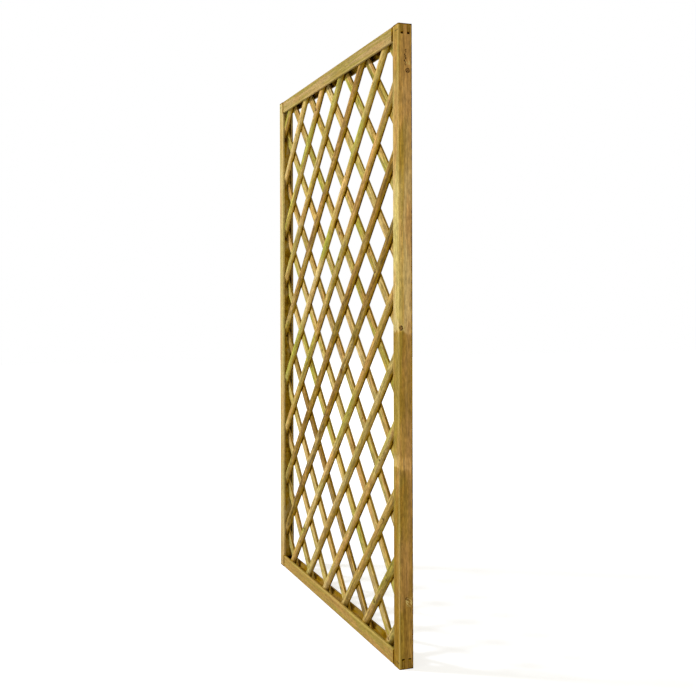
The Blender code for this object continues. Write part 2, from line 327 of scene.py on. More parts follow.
# Knots seen on the laths: (along from the panel's upright middle line, across, radius). The other laths have
# two each, drawn within the reaches below. A radius of nothing leaves a knot out.
LATH_KNOTS = {
    "front_lath_07": [(0.56, 0.002, 0.006), (0.12, -0.003, 0.005)],
    "front_lath_08": [(-0.379, -0.002, 0.0065), (0.15, 0.003, 0.006)],
    "front_lath_09": [(0.09, -0.003, 0.004), (0.6, 0.002, 0.003)],
    "front_lath_11": [(0.015, 0.0, 0.0055), (-0.5, 0.003, 0.0)],
    "rear_lath_07": [(0.54, 0.002, 0.004), (-0.2, 0.0, 0.003)],
    "rear_lath_08": [(0.354, 0.004, 0.0045), (0.54, 0.0, 0.004)],
}
KNOT_REACH_SHARE = 0.85
KNOT_OFF_MIDDLE = 9 * MM
KNOT_RADII = (0.0, 3 * MM, 4 * MM, 5.5 * MM)


class Flow:
    """A socket of a node tree, which arithmetic can be written with."""

    def __init__(self, tree, socket):
        self.tree = tree
        self.socket = socket

    def apply(self, operation, *others):
        return calculate(self.tree, operation, self, *others)

    def __add__(self, other):
        return self.apply("ADD", other)

    def __sub__(self, other):
        return self.apply("SUBTRACT", other)

    def __rsub__(self, other):
        return calculate(self.tree, "SUBTRACT", other, self)

    def __mul__(self, other):
        return self.apply("MULTIPLY", other)

    def __truediv__(self, other):
        return self.apply("DIVIDE", other)

    def __pow__(self, other):
        return self.apply("POWER", other)

    __radd__ = __add__


def feed(tree, socket, value):
    """Give a socket a plain value, a flow, or what a node puts out first."""
    if isinstance(value, Flow):
        tree.links.new(value.socket, socket)
    elif isinstance(value, bpy.types.Node):
        tree.links.new(value.outputs[0], socket)
    else:
        socket.default_value = value


def add_node(tree, kind, inputs=None, **settings):
    """Add a node, with its settings, and feed each named or numbered input."""
    node = tree.nodes.new(kind)
    for name, value in settings.items():
        setattr(node, name, value)
    for place, value in (inputs or {}).items():
        feed(tree, node.inputs[place], value)
    return node


def out(tree, node, place=0):
    return Flow(tree, node.outputs[place])


def is_vector(value):
    if isinstance(value, Flow):
        return value.socket.type in ("VECTOR", "RGBA")
    return hasattr(value, "__len__")


def calculate(tree, operation, *values):
    """Add a Math node, or a Vector Math node where the first value is a vector."""
    if not is_vector(values[0]):
        node = add_node(tree, "ShaderNodeMath", dict(enumerate(values)), operation=operation)
        return out(tree, node)
    if operation == "MULTIPLY" and not is_vector(values[1]):
        node = add_node(tree, "ShaderNodeVectorMath", {0: values[0], "Scale": values[1]}, operation="SCALE")
        return out(tree, node)
    return out(tree, add_node(tree, "ShaderNodeVectorMath", dict(enumerate(values)), operation=operation))


def split(vector):
    node = add_node(vector.tree, "ShaderNodeSeparateXYZ", {0: vector})
    return [out(vector.tree, node, place) for place in range(3)]


def join(tree, x, y, z):
    return out(tree, add_node(tree, "ShaderNodeCombineXYZ", {0: x, 1: y, 2: z}))


def step(value, low, high, start=0.0, end=1.0):
    """Rise smoothly from start to end while the value goes from low to high."""
    inputs = {"Value": value, "From Min": low, "From Max": high, "To Min": start, "To Max": end}
    node = add_node(value.tree, "ShaderNodeMapRange", inputs, interpolation_type="SMOOTHSTEP")
    return out(value.tree, node)


def fade(value, low, high):
    """Fall smoothly from one to nothing while the value goes from low to high."""
    return step(value, low, high, 1.0, 0.0)


def strongest(first, *others):
    """Return the greatest of several masks."""
    for other in others:
        first = first.apply("MAXIMUM", other)
    return first


def length(first, second):
    return (first * first + second * second) ** 0.5


def noise(at, detail=2.0, roughness=0.5, output=0):
    """Soft noise round one half. Output 1 gives three such values at once."""
    inputs = {"Vector": at, "Scale": 1.0, "Detail": detail, "Roughness": roughness}
    return out(at.tree, add_node(at.tree, "ShaderNodeTexNoise", inputs), output)


def draw_for(number, output=0):
    """Draw a value for a whole number, the same each time. Output 1 gives three such values at once."""
    node = add_node(number.tree, "ShaderNodeTexWhiteNoise", {"W": number}, noise_dimensions="1D")
    return out(number.tree, node, output)


def blend(factor, first, second):
    """Mix two colours, which are the Mix node's sockets 6 and 7."""
    tree = factor.tree
    node = add_node(tree, "ShaderNodeMix", {0: factor, 6: first, 7: second}, data_type="RGBA")
    return out(tree, node, 2)


def object_place(tree):
    return out(tree, add_node(tree, "ShaderNodeTexCoord"), "Object")


def new_group(name, kind, inputs, outputs):
    """Return a new node group, its inputs by name, and a call that sets its outputs."""
    group = bpy.data.node_groups.new(name, kind)
    for label, socket_type, value in inputs:
        socket = group.interface.new_socket(label, in_out="INPUT", socket_type=socket_type)
        if value is not None:
            socket.default_value = value
    for label, socket_type in outputs:
        group.interface.new_socket(label, in_out="OUTPUT", socket_type=socket_type)
    source = group.nodes.new("NodeGroupInput")
    target = group.nodes.new("NodeGroupOutput")
    given = {label: Flow(group, source.outputs[label]) for label, _, _ in inputs}

    def set_outputs(**flows):
        for label, flow in flows.items():
            feed(group, target.inputs[label], flow)

    return group, given, set_outputs


def place_group(tree, group, inputs):
    """Place a shader group, and return its outputs by name."""
    node = tree.nodes.new("ShaderNodeGroup")
    node.node_tree = group
    for label, value in inputs.items():
        feed(tree, node.inputs[label], value)
    return {socket.name: Flow(tree, socket) for socket in node.outputs}


# Shader groups

def new_feature_group(name, feature, outputs):
    """Start a group for a feature of a face, whose place and size come in one vector."""
    inputs = [("Lay", "NodeSocketVector", None), (feature, "NodeSocketVector", None)]
    return new_group(name, "ShaderNodeTree", inputs, [(label, "NodeSocketFloat") for label in outputs])


def make_knot_group():
    """A knot: rings bend round it, and it has a dark rim. Knot holds (along, across, radius)."""
    group, given, set_outputs = new_feature_group("knot", "Knot", ("Push", "Core", "Rim"))
    along, across, deep = split(given["Lay"])
    knot_along, knot_across, knot_radius = split(given["Knot"])
    radius = knot_radius.apply("MAXIMUM", LEAST_KNOT_RADIUS)

    # A knot slants through the wood, and its outline is ragged
    ragged = noise(given["Lay"] * KNOT_CYCLES, 2.0) - 0.5
    run = along - knot_along - deep * KNOT_SLANT_SHARE
    rise = across - knot_across
    distance = length(run, rise) / radius + ragged * KNOT_RAGGED_SHARE
    spread = distance * 0.5
    push = (spread * spread * -1.0).apply("EXPONENT") * radius * KNOT_PUSH_SHARE
    core = fade(distance, 0.8, 1.0)
    broken = step(noise(given["Lay"] * KNOT_BREAK_CYCLES + (5.0, 2.0, 8.0), 1.0), 0.32, 0.55, 0.25, 1.0)
    ring = step(distance, 0.45, 0.7) * fade(distance, 1.0, 1.3) * broken
    rim = strongest(ring, fade(distance, 0.15, 0.45) * 0.85)
    set_outputs(Push=push, Core=core, Rim=rim)
    return group


def make_mark_group():
    """A dark resin line that wanders up a face. Mark holds (along, across, half length)."""
    group, given, set_outputs = new_feature_group("resin_mark", "Mark", ("Line",))
    along, across, _ = split(given["Lay"])
    mark_along, mark_across, half_length = split(given["Mark"])
    wander = (noise(join(group, along * RESIN_CYCLES, 3.0, 0.0), 1.0) - 0.5) * RESIN_WANDER / half_length
    away = (across - mark_across - wander).apply("ABSOLUTE")
    inside = fade((along - mark_along).apply("ABSOLUTE"), half_length * 0.7, half_length)
    broken = step(noise(given["Lay"] * RESIN_BREAK_CYCLES, 1.0), 0.35, 0.5)
    set_outputs(Line=fade(away, *RESIN_LINE) * inside * broken)
    return group


def make_tear_group():
    """Short pale tears that slant across the grain. Tear holds (along, across, half length)."""
    group, given, set_outputs = new_feature_group("torn_grain", "Tear", ("Torn",))
    along, across, _ = split(given["Lay"])
    tear_along, tear_across, half_length = split(given["Tear"])
    run = along - tear_along
    rise = across - tear_across
    across_tears, along_tears = TEAR_CYCLES
    lines = noise(join(group, (run + rise) * across_tears, (run - rise) * along_tears, 0.0), 1.0)
    set_outputs(Torn=step(lines, 0.48, 0.58) * fade(length(run, rise), half_length * 0.6, half_length))
    return group


def make_timber_group():
    """Sawn and treated softwood, in a piece's own lay: along the grain, across it, and deep."""
    inputs = [
        ("Lay", "NodeSocketVector", None),
        ("Number", "NodeSocketFloat", 0.0),
        ("Pith", "NodeSocketVector", None),
        ("Ring Width", "NodeSocketFloat", RING_WIDTH),
        ("Heart", "NodeSocketFloat", 0.25),
        ("Tone", "NodeSocketFloat", 0.2),
        ("Pink", "NodeSocketFloat", 0.0),
        ("Green", "NodeSocketFloat", 0.4),
        ("Shade", "NodeSocketFloat", 1.0),
        ("Streaks", "NodeSocketFloat", 1.0),
        ("End", "NodeSocketFloat", 0.0),
        ("Dirt And Shade", "NodeSocketFloat", 0.0),
        ("Wear And Highlight", "NodeSocketFloat", 0.0),
        ("Push", "NodeSocketFloat", 0.0),
        ("Core", "NodeSocketFloat", 0.0),
        ("Rim", "NodeSocketFloat", 0.0),
    ]
    outputs = [("Color", "NodeSocketColor"), ("Roughness", "NodeSocketFloat"), ("Height", "NodeSocketFloat")]
    group, given, set_outputs = new_group("timber", "ShaderNodeTree", inputs, outputs)
    number = given["Number"]
    streaks = given["Streaks"]
    place = given["Lay"] + join(group, number * 3.71, number * 1.93, number * 7.13)

    # Growth rings round a pith that wanders along the piece
    wander = (noise(place * PITH_CYCLES, 2.0, output=1) - (0.5, 0.5, 0.5)) * PITH_WANDER
    along, across, deep = split(given["Lay"] + given["Pith"] + wander)
    radius = length(across, deep) + given["Push"]
    rings = radius / given["Ring Width"] + noise(place * RING_CYCLES, 2.0) * 0.9
    part = rings.apply("FRACT")
    strength = step(draw_for(rings.apply("FLOOR")), 0.0, 1.0, 0.3, 1.0)
    late = step(part, 0.25, 0.86) * fade(part, 0.9, 1.0) * strength

    # Bands of sapwood and heartwood that follow the rings, with longer streaks and patches of preservative.
    # What is added to a place only keeps two patterns apart.
    ring_space = join(group, along * 0.9, radius * 75.0, number * 2.7)
    band = noise(ring_space, 2.0)
    salts = noise(ring_space * (4.0, 1.2, 1.0) + (4.0, 7.0, 2.0), 2.0)
    streak = noise(place * STREAK_CYCLES, 3.0)
    fibre = noise(place * FIBRE_CYCLES, 4.0, 0.6)
    blotch = noise(place * BLOTCH_CYCLES, 3.0)
    mottle = noise(place * MOTTLE_CYCLES, 3.0)
    grain = noise(place * GRAIN_CYCLES + (6.0, 2.0, 3.0), 2.0)

    colour = blend(step(given["Heart"] + (band - 0.5) * streaks, 0.0, 1.0), PALE_SHARES, HEART_SHARES)
    colour = blend(late * (streaks * 0.4 + 0.24), colour, LATE_SHARES)
    colour = blend(step(salts, 0.38, 0.62) * given["Green"], colour, GREEN_SHARES)
    colour = blend(step(blotch, 0.45, 0.62) * (streaks * 0.3 + 0.3) + given["Pink"], colour, PINK_SHARES)
    colour = blend(step(band, 0.3, 0.7, 0.35, 1.0) * given["Tone"], colour, BROWN_SHARES)
    shade = (step(streak, 0.25, 0.75, -0.3, 0.24) * streaks + 1.0) * step(fibre, 0.25, 0.75, 0.86, 1.13)
    shade = shade * (step(mottle, 0.3, 0.7, -0.18, 0.14) * streaks + 1.0) * given["Shade"]
    colour = colour * (shade * step(grain, 0.3, 0.7, 0.84, 1.15))

    # Drying cracks and knots
    crack_line = (noise(place * CRACK_CYCLES, 1.0) - 0.5).apply("ABSOLUTE")
    sparse = step(noise(place * CRACK_PATCH_CYCLES + (9.0, 4.0, 1.0), 1.0), 0.6, 0.68)
    crack = fade(crack_line, 0.002, 0.01) * sparse
    colour = blend(crack * 0.8, colour, CRACK_SHARES)
    colour = blend(given["Core"] * 0.85, colour, KNOT_SHARES)
    colour = blend(given["Rim"] * 0.95, colour, KNOT_RIM_SHARES)

    # End grain, worn edges with a painted highlight, and stain that goes from golden through brown to nearly
    # black.
    # These stain stages also carry painted shade, and the near black is painted shade in slots, hollows and
    # crossings, which the darkest seams reach too.
    pores = noise(place * PORE_CYCLES, 1.0)
    end_colour = blend(late, END_SHARES, LATE_SHARES) * step(pores, 0.3, 0.7, 0.7, 1.1)
    colour = blend(given["End"] * 0.85, colour, end_colour)
    colour = blend(given["Wear And Highlight"] * step(streak, 0.3, 0.6, 0.2, 0.5), colour, WORN_AND_HIGHLIGHT_SHARES)
    fray = step(noise(place * FRAY_CYCLES, 2.0), 0.38, 0.62, 0.7, 1.1)
    dirt_and_shade = given["Dirt And Shade"] * step(blotch, 0.3, 0.65, 0.6, 1.15) * fray
    colour = blend(step(dirt_and_shade, 0.0, 0.5), colour, STAIN_AND_SHADE_SHARES)
    colour = blend(step(dirt_and_shade, 0.4, 1.0), colour, DIRT_AND_SHADE_SHARES)
    colour = blend(step(dirt_and_shade, 1.0, 1.5), colour, HOLE_SHADE_AND_SEAM_SHARES)

    roughness = step(fibre, 0.2, 0.8, 0.55, 0.75) - late * 0.08 + given["End"] * 0.25 + given["Dirt And Shade"] * 0.2
    height = late * 0.35 + fibre * 0.3 + streak * 0.3 - crack * 1.5 - given["Rim"] * 0.5
    set_outputs(Color=colour, Roughness=roughness, Height=height)
    return group


def add_knots(tree, lay, knots, group):
    """Place a knot group for each knot, and return the summed push and the strongest masks."""
    total = None
    for knot in knots:
        found = place_group(tree, group, {"Lay": lay, "Knot": knot})
        if total is None:
            total = found
        else:
            total = {
                "Push": total["Push"] + found["Push"],
                "Core": strongest(total["Core"], found["Core"]),
                "Rim": strongest(total["Rim"], found["Rim"]),
            }
    return total or {}


def new_material(name):
    material = bpy.data.materials.new(name)
    material.use_nodes = True
    tree = material.node_tree
    shader = tree.nodes["Principled BSDF"]
    shader.inputs["Specular IOR Level"].default_value = SPECULAR_SHARE
    return material, tree, shader


def finish_surface(tree, shader, colour, roughness, height, strength, distance):
    """Feed a material's shader, with the height as relief."""
    feed(tree, shader.inputs["Base Color"], colour)
    feed(tree, shader.inputs["Roughness"], roughness)
    relief = add_node(tree, "ShaderNodeBump", {"Height": height, "Strength": strength, "Distance": distance})
    feed(tree, shader.inputs["Normal"], relief)


def finish_wood(tree, shader, group, inputs):
    timber = place_group(tree, group, inputs)
    finish_surface(tree, shader, timber["Color"], timber["Roughness"], timber["Height"],
                   WOOD_RELIEF_SHARE, WOOD_RELIEF)


def rise_over_lath(x, z, slope):
    """How far a point lies above the middle line of a layer's nearest lath, measured across the lath."""
    row = math.cos(LATH_ANGLE) * LATH_PITCH
    from_row = (z + x * slope - LATTICE_MIDDLE) * math.cos(LATH_ANGLE)
    return from_row.apply("WRAP", row / 2, -row / 2)


# Frame members

class MemberPlace:
    """Where a point of a frame member lies, as distances from the member's own sides, and which way it faces.

    The lay runs along the grain, through the depth from front to back, and from the outer side to the groove.
    """

    def __init__(self, tree, member):
        coordinates = add_node(tree, "ShaderNodeTexCoord")
        at_object = out(tree, coordinates, "Object")
        turn = {"Rotation": member["turn"]}
        placed = {"Vector": at_object, "Location": (0, 0, member["shift"]), **turn}
        faced = {"Vector": out(tree, coordinates, "Normal"), **turn}
        end_facing, _, groove_facing = split(out(tree, add_node(tree, "ShaderNodeMapping", faced)))
        self.tree = tree
        self.lay = out(tree, add_node(tree, "ShaderNodeMapping", placed))
        self.x, y, self.z = split(at_object)
        self.along, self.across, self.deep = split(self.lay)
        self.off_middle = self.across.apply("ABSOLUTE")
        self.from_front = y + HALF_FACE
        self.from_back = HALF_FACE - y
        self.from_outer = self.deep + HALF_FACE
        self.from_inner = HALF_FACE - self.deep
        self.from_front_or_back = HALF_FACE - self.off_middle
        self.from_outer_or_inner = HALF_FACE - self.deep.apply("ABSOLUTE")
        self.skin = fade(self.from_outer, *SKIN_FROM_OUTER)
        self.end = step(end_facing.apply("ABSOLUTE"), *FACING_SHARES)
        self.outward = step(groove_facing * -1.0, *FACING_SHARES)


def member_knots(at, member, groups):
    """Knots and resin lines in the skin of the outer side, and swirls where its rings bend."""
    knots = add_knots(at.tree, at.lay, member["side_knots"], groups["knot"])
    for *mark, strength in member["marks"]:
        line = place_group(at.tree, groups["mark"], {"Lay": at.lay, "Mark": mark})["Line"]
        knots["Rim"] = strongest(knots["Rim"], line * strength)
    for label in ("Core", "Rim"):
        if label in knots:
            knots[label] = knots[label] * at.skin
    for swirl in member["swirls"]:
        bend = place_group(at.tree, groups["knot"], {"Lay": at.lay, "Knot": swirl})["Push"]
        knots["Push"] = knots["Push"] + bend * at.skin
    return knots


def groove_shade(at, member):
    """Painted shade in the groove, uneven along it, stronger at the laths' feet and in a rail's corners."""
    painted_shade = fade(at.off_middle - HALF_GROOVE, *LIP_FROM_GROOVE) * step(at.deep, *FLOOR_FROM_MIDDLE)
    uneven = noise(at.lay * GROOVE_CYCLES + (3.0, 3.0, 3.0), 2.0)
    painted_shade = painted_shade * step(uneven, 0.35, 0.65, 0.55, 1.45)
    # Deeper painted shade at the laths' feet, and in a rail's corners
    for slope, foot_share in FOOT_SHADE_SHARES.items():
        from_lath = rise_over_lath(at.x, at.z, slope).apply("ABSOLUTE") - LATH_WIDTH / 2
        painted_shade = painted_shade * step(from_lath, *FOOT_SHADE_FROM_LATH, foot_share, 1.0)
    if member["level"]:
        past_shoulder = at.along.apply("ABSOLUTE") - HALF_OPENING
        painted_shade = painted_shade * step(past_shoulder, *CORNER_FROM_SHOULDER, 1.0, GROOVE_CORNER_SHADE_SHARE)
    return (painted_shade * member["groove"]).apply("MINIMUM", 1.0)


def rail_joint_stain_and_shade(at, member):
    """Stain at a rail's shoulders and round the tenons' sawn ends, and painted shade on the tenons' hidden
    sides.
    """
    past_shoulder = at.along.apply("ABSOLUTE") - HALF_OPENING
    tenon = step(past_shoulder, *TENON_FROM_SHOULDER)
    seam = step(past_shoulder, *SEAM_FROM_SHOULDER) * (1.0 - tenon) * member["joint"]
    # Painted shade on the tenon's sides, which lie inside the stile's slot
    hidden_shade = tenon * (1.0 - at.end) * HIDDEN_SHADE_SHARE
    rim = (at.off_middle - HALF_PRONG).apply("MINIMUM", HALF_GROOVE - at.off_middle)
    edge = fade(at.from_outer, *SAWN_FROM_END) * TENON_EDGE_SHARE
    outline = at.end * strongest(fade(rim, *OUTLINE_FROM_RIM), edge)
    return (seam + hidden_shade) * (1.0 - at.outward * OUTWARD_CLEAN_SHARE) + outline * SAWN_SHARE


def stile_joint_stain_and_shade(at, member):
    """Painted shade in a stile's slots, and stain on its edges beside the rails and at its sawn ends."""
    from_end = HALF_HEIGHT - (at.along - HALF_HEIGHT).apply("ABSOLUTE")
    inside = step(at.from_front_or_back, *INSIDE_FROM_SIDE) * step(at.from_outer_or_inner, *INSIDE_FROM_SIDE)
    # Painted shade inside the slots that hold the tenons
    hidden_shade = inside * fade(from_end, *JOINT_FROM_END) * HIDDEN_SHADE_SHARE * step(from_end, *SKIN_FROM_END)
    by_rail = fade(from_end - MEMBER_FACE, *SEAM_FROM_RAIL) * fade(at.from_inner, *SEAM_FROM_INNER)
    sawn = fade(from_end, *SAWN_FROM_END) * (1.0 - at.end)
    return strongest(hidden_shade, by_rail * RAIL_SEAM_SHARE, at.end * END_STAIN_SHARE, sawn * SAWN_SHARE)


def edge_shade(at, member):
    """Painted shade along the rear edges, and on a rail along the edges of its outer side too."""
    painted_shade = fade(at.from_back, *SHADE_FROM_BACK) * fade(at.from_outer_or_inner, *SHADE_FROM_EDGE)
    painted_shade = painted_shade * BACK_EDGE_SHADE_SHARE
    if member["level"]:
        fringe = fade(at.from_outer, *FRINGE_FROM_OUTER) * fade(at.from_front_or_back, *SHADE_FROM_EDGE)
        band_share, outward_share = BAND_SHARES
        band = fade(at.from_outer, *BAND_FROM_OUTER) * (band_share - at.outward * outward_share)
        painted_shade = strongest(painted_shade, fringe * FRINGE_SHARE, band)
    return painted_shade


def member_wear_and_highlight(at, member, groups):
    """Pale wood along the front edges, wear with a painted highlight, and where the grain is torn."""
    from_edge = at.from_inner if member["level"] else at.from_outer_or_inner
    wear_and_highlight = fade(from_edge, *WEAR_AND_HIGHLIGHT_FROM_EDGE) * fade(at.from_front, *WEAR_AND_HIGHLIGHT_FROM_FRONT)
    for tear in member["tears"]:
        torn = place_group(at.tree, groups["tear"], {"Lay": at.lay, "Tear": tear})["Torn"]
        wear_and_highlight = strongest(wear_and_highlight, torn * at.skin * TORN_SHARE)
    return wear_and_highlight


def member_heart(at, member):
    """The share of heartwood, with a ragged line at each change of tone."""
    ragged = (noise(at.lay * CHANGE_CYCLES, 2.0) - 0.5) * CHANGE_RAGGED
    ragged = ragged + at.along + at.across * CHANGE_SLANT_SHARE
    heart = member["heart"]
    for height, softness, change in member["changes"]:
        heart = step(ragged, height - softness, height + softness, 0.0, change) + heart
    return heart


def member_strip(at, member):
    """The golden strip up the front third of the outer side."""
    ragged = (noise(at.lay * STRIP_CYCLES, 2.0) - 0.5) * STRIP_RAGGED
    return at.skin * fade(at.across + ragged, *STRIP_FROM_MIDDLE) * member["strip"]


def make_member_wood(name, member, groups):
    material, tree, shader = new_material(name)
    at = MemberPlace(tree, member)
    heart = member_heart(at, member)
    strip = member_strip(at, member)
    lean = at.across * member["lean"]
    joint_stain_and_shade = rail_joint_stain_and_shade if member["level"] else stile_joint_stain_and_shade
    finish_wood(tree, shader, groups["timber"], {
        "Lay": at.lay, "Number": member["number"], "Pith": member["pith"], "Streaks": member["streaks"],
        "Heart": heart + strip,
        "Tone": heart * member["tone"],
        "Shade": (1.14 - heart * 0.22 + strip * (0.68 - heart * 0.54)) * member["shade"],
        "Green": member["green"] - lean,
        "Pink": member["pink"] + lean,
        "End": at.end,
        "Wear And Highlight": member_wear_and_highlight(at, member, groups),
        # Painted shade in the groove, the slots and along the edges, with stain at the joints
        "Dirt And Shade": strongest(groove_shade(at, member), joint_stain_and_shade(at, member)) + edge_shade(at, member),
        **member_knots(at, member, groups),
    })
    return material


# Laths

def lath_stain_and_shade(x, z, deep, flat, right, slope, edge_stain_and_shade_share):
    """Stain on a lath's rough edges, and painted shade on its flanks, where it meets the other layer, and
    near the frame.
    """
    edge = (1.0 - flat) * fade(deep - LATH_EDGE_HEIGHT, *STAIN_FROM_LATH_EDGE)
    above = rise_over_lath(x, z, slope)
    from_crossing = above.apply("ABSOLUTE") - LATH_WIDTH / 2
    # Painted shade on the flat face round each crossing, and a painted shadow just below the lath that
    # crosses
    corner = fade(from_crossing, *SHADE_FROM_CROSSING) * CROSSING_SHADE_SHARE
    shadow_below = fade(from_crossing, *SHADOW_FROM_CROSSING) * fade(above, *SHADOW_BELOW_CROSSING) * CROSSING_SHADOW_SHARE
    # Painted shade on the dome's flanks, stronger on its right half and near the crossings
    flank = (1.0 - flat) * fade(deep, *FLANK_SHADE_FROM_FLAT) * (right * 0.75 + 0.35)
    flank = flank * step(from_crossing, *CROSSING_REACH, 1.0, 0.65)
    # Painted shade near the stiles and rails, where the laths go into the grooves
    from_stile = HALF_OPENING - x.apply("ABSOLUTE")
    from_rail = HALF_HEIGHT - MEMBER_FACE - (z - HALF_HEIGHT).apply("ABSOLUTE")
    frame_shade = fade(from_stile.apply("MINIMUM", from_rail), *SHADE_FROM_FRAME)
    return strongest(edge * edge_stain_and_shade_share * LATH_EDGE_SHARE, (corner + shadow_below) * flat,
                     flank * edge_stain_and_shade_share * LATH_FLANK_SHADE_SHARE, frame_shade * FRAME_SHADE_SHARE)


def make_lath_wood(name, slope, edge_stain_and_shade_share, groups):
    """Wood of a layer of laths, which carry their lay, tone and knots as attributes."""
    material, tree, shader = new_material(name)

    def attribute(label):
        return out(tree, add_node(tree, "ShaderNodeAttribute", attribute_name=label), "Vector")

    x, _, z = split(object_place(tree))
    lay = attribute("lay")
    _, across, deep = split(lay)
    number, tone, green = split(attribute("lath"))
    knots = add_knots(tree, lay, [attribute("knot_a"), attribute("knot_b")], groups["knot"])
    draw = draw_for(number, 1)
    heart_draw, pink_draw, _ = split(draw)
    pith = (draw - (0.5, 0.5, 0.5)) * LATH_PITH_SPREAD + LATH_PITH

    # Flat is the sawn side, and right the half of the dome that faces the right. The right half gets painted
    # shade: more golden heartwood and pink, less green, and a stronger flank shade.
    flat = fade(deep, *DOME_FROM_FLAT)
    right = fade(across * slope, *SHADED_RIGHT_FROM_MIDDLE)
    finish_wood(tree, shader, groups["timber"], {
        "Lay": lay, "Number": number, "Pith": pith, "Tone": tone,
        "Streaks": 1.0 + tone,
        "Shade": 1.15 - tone * 0.18,
        "Heart": heart_draw * 0.4 - 0.15 + right * (0.3 - flat * 0.16),
        "Pink": pink_draw * 0.5 - 0.44 + right * 0.2,
        "Green": green * 1.5 + (1.0 - right) * 0.3,
        "Dirt And Shade": lath_stain_and_shade(x, z, deep, flat, right, slope, edge_stain_and_shade_share),
        **knots,
    })
    return material


def lath_section():
    """Return a closed curve of a lath's section, flat back at Y = 0 and dome towards -Y."""
    half = LATH_WIDTH / 2
    rise = LATH_THICKNESS - LATH_EDGE_HEIGHT
    radius = (half ** 2 + rise ** 2) / (2 * rise)
    sweep = math.atan2(half, radius - rise)
    points = []
    for number in range(DOME_STEPS + 1):
        angle = sweep - 2 * sweep * number / DOME_STEPS
        points.append((radius * math.sin(angle), LATH_THICKNESS - radius + radius * math.cos(angle)))
    for side, first in ((-1, 2 * QUARTER), (1, 3 * QUARTER)):
        for number in range(ARRIS_STEPS + 1):
            angle = first + QUARTER * number / ARRIS_STEPS
            points.append((side * (half - LATH_ARRIS) + LATH_ARRIS * math.cos(angle),
                           LATH_ARRIS + LATH_ARRIS * math.sin(angle)))
    curve = bpy.data.curves.new("lath_section", "CURVE")
    spline = curve.splines.new("POLY")
    spline.points.add(len(points) - 1)
    for point, (across, deep) in zip(spline.points, points):
        point.co = (-across, -deep, 0, 1)
    spline.use_cyclic_u = True
    item = bpy.data.objects.new("lath_section", curve)
    bpy.context.scene.collection.objects.link(item)
    return item


